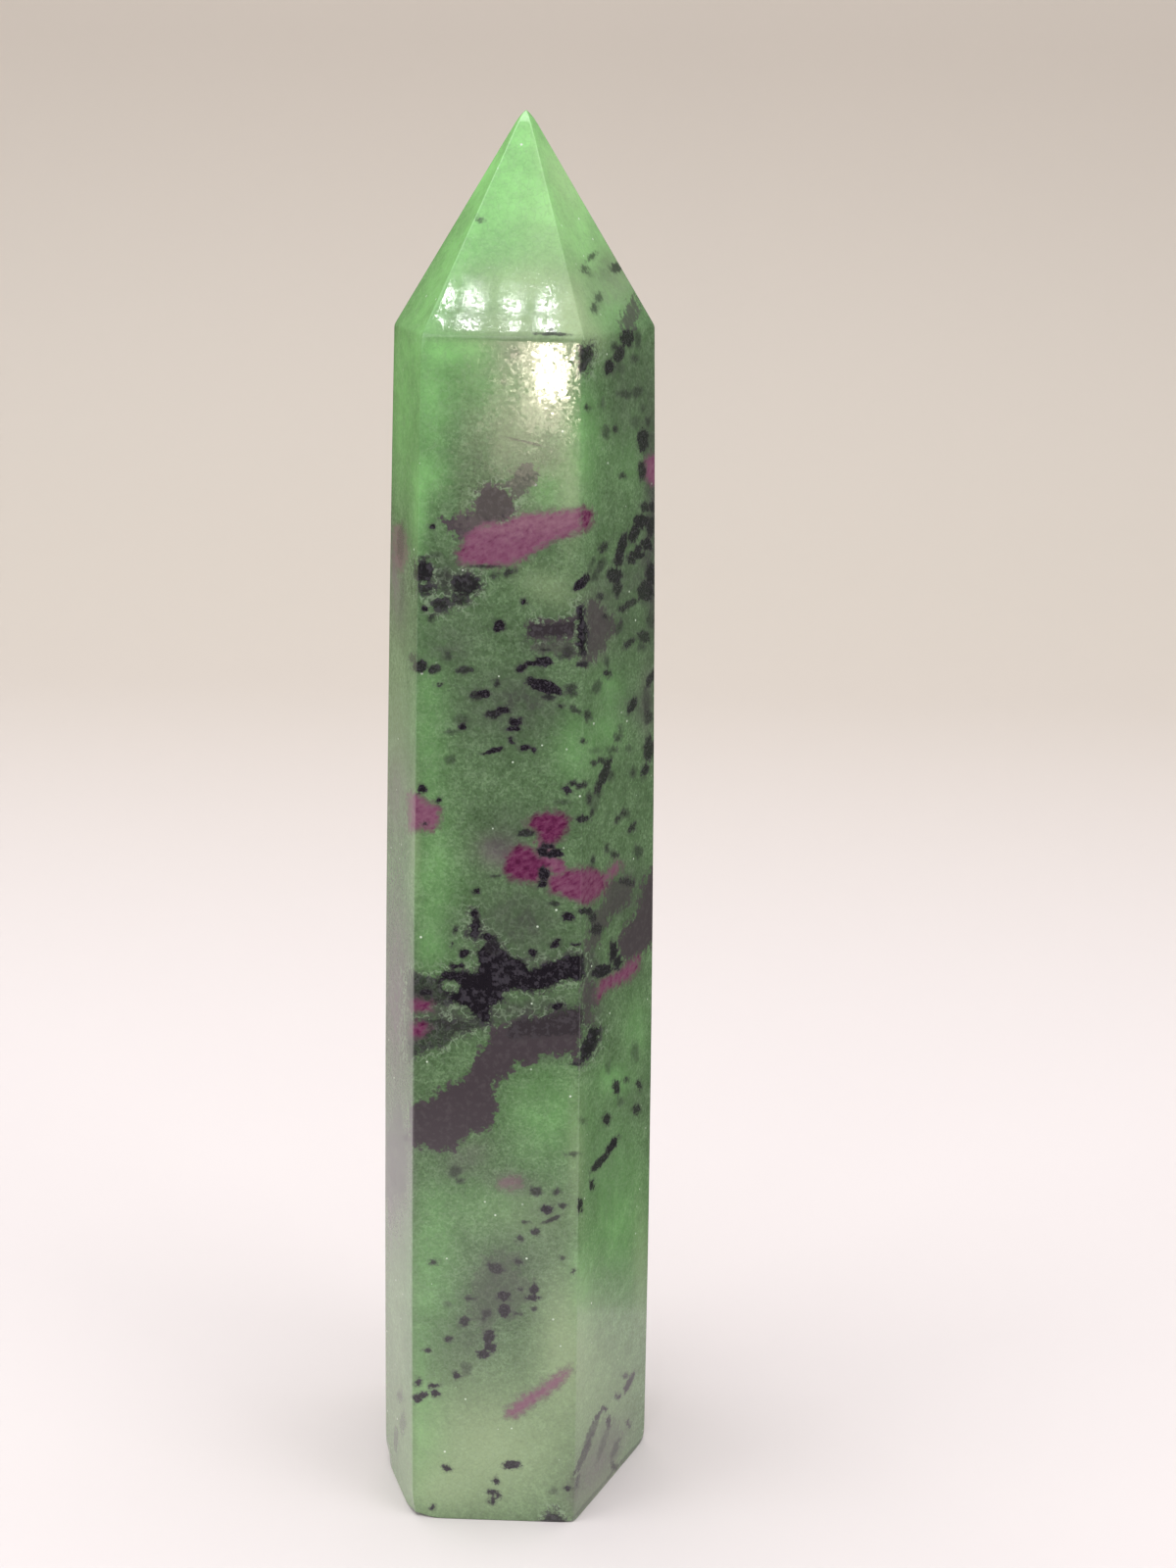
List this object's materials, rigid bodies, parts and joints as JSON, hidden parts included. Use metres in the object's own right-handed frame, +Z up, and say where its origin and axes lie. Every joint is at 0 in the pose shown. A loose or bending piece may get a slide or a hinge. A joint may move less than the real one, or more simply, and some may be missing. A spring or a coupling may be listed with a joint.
{
  "type": "ruby in zoisite tower",
  "caption": "Polished six-sided tower of ruby in zoisite with a faceted point and a flat base, ground from one piece of stone to stand on a shelf or table.",
  "frame": {"origin": "centre of the flat base, on the surface that the stone stands on", "axes": "+Z up along the stone to its point, -Y out of its widest face, +X to that face's right as seen from in front"},
  "size_m": [0.028, 0.0266, 0.14],
  "materials": {
    "polished_stone": "glassy polish on green zoisite with black specks and veins and patches of magenta ruby"
  },
  "bodies": {
    "root": {"ruby_zoisite_tower": "polished_stone"}
  },
  "joints": []
}
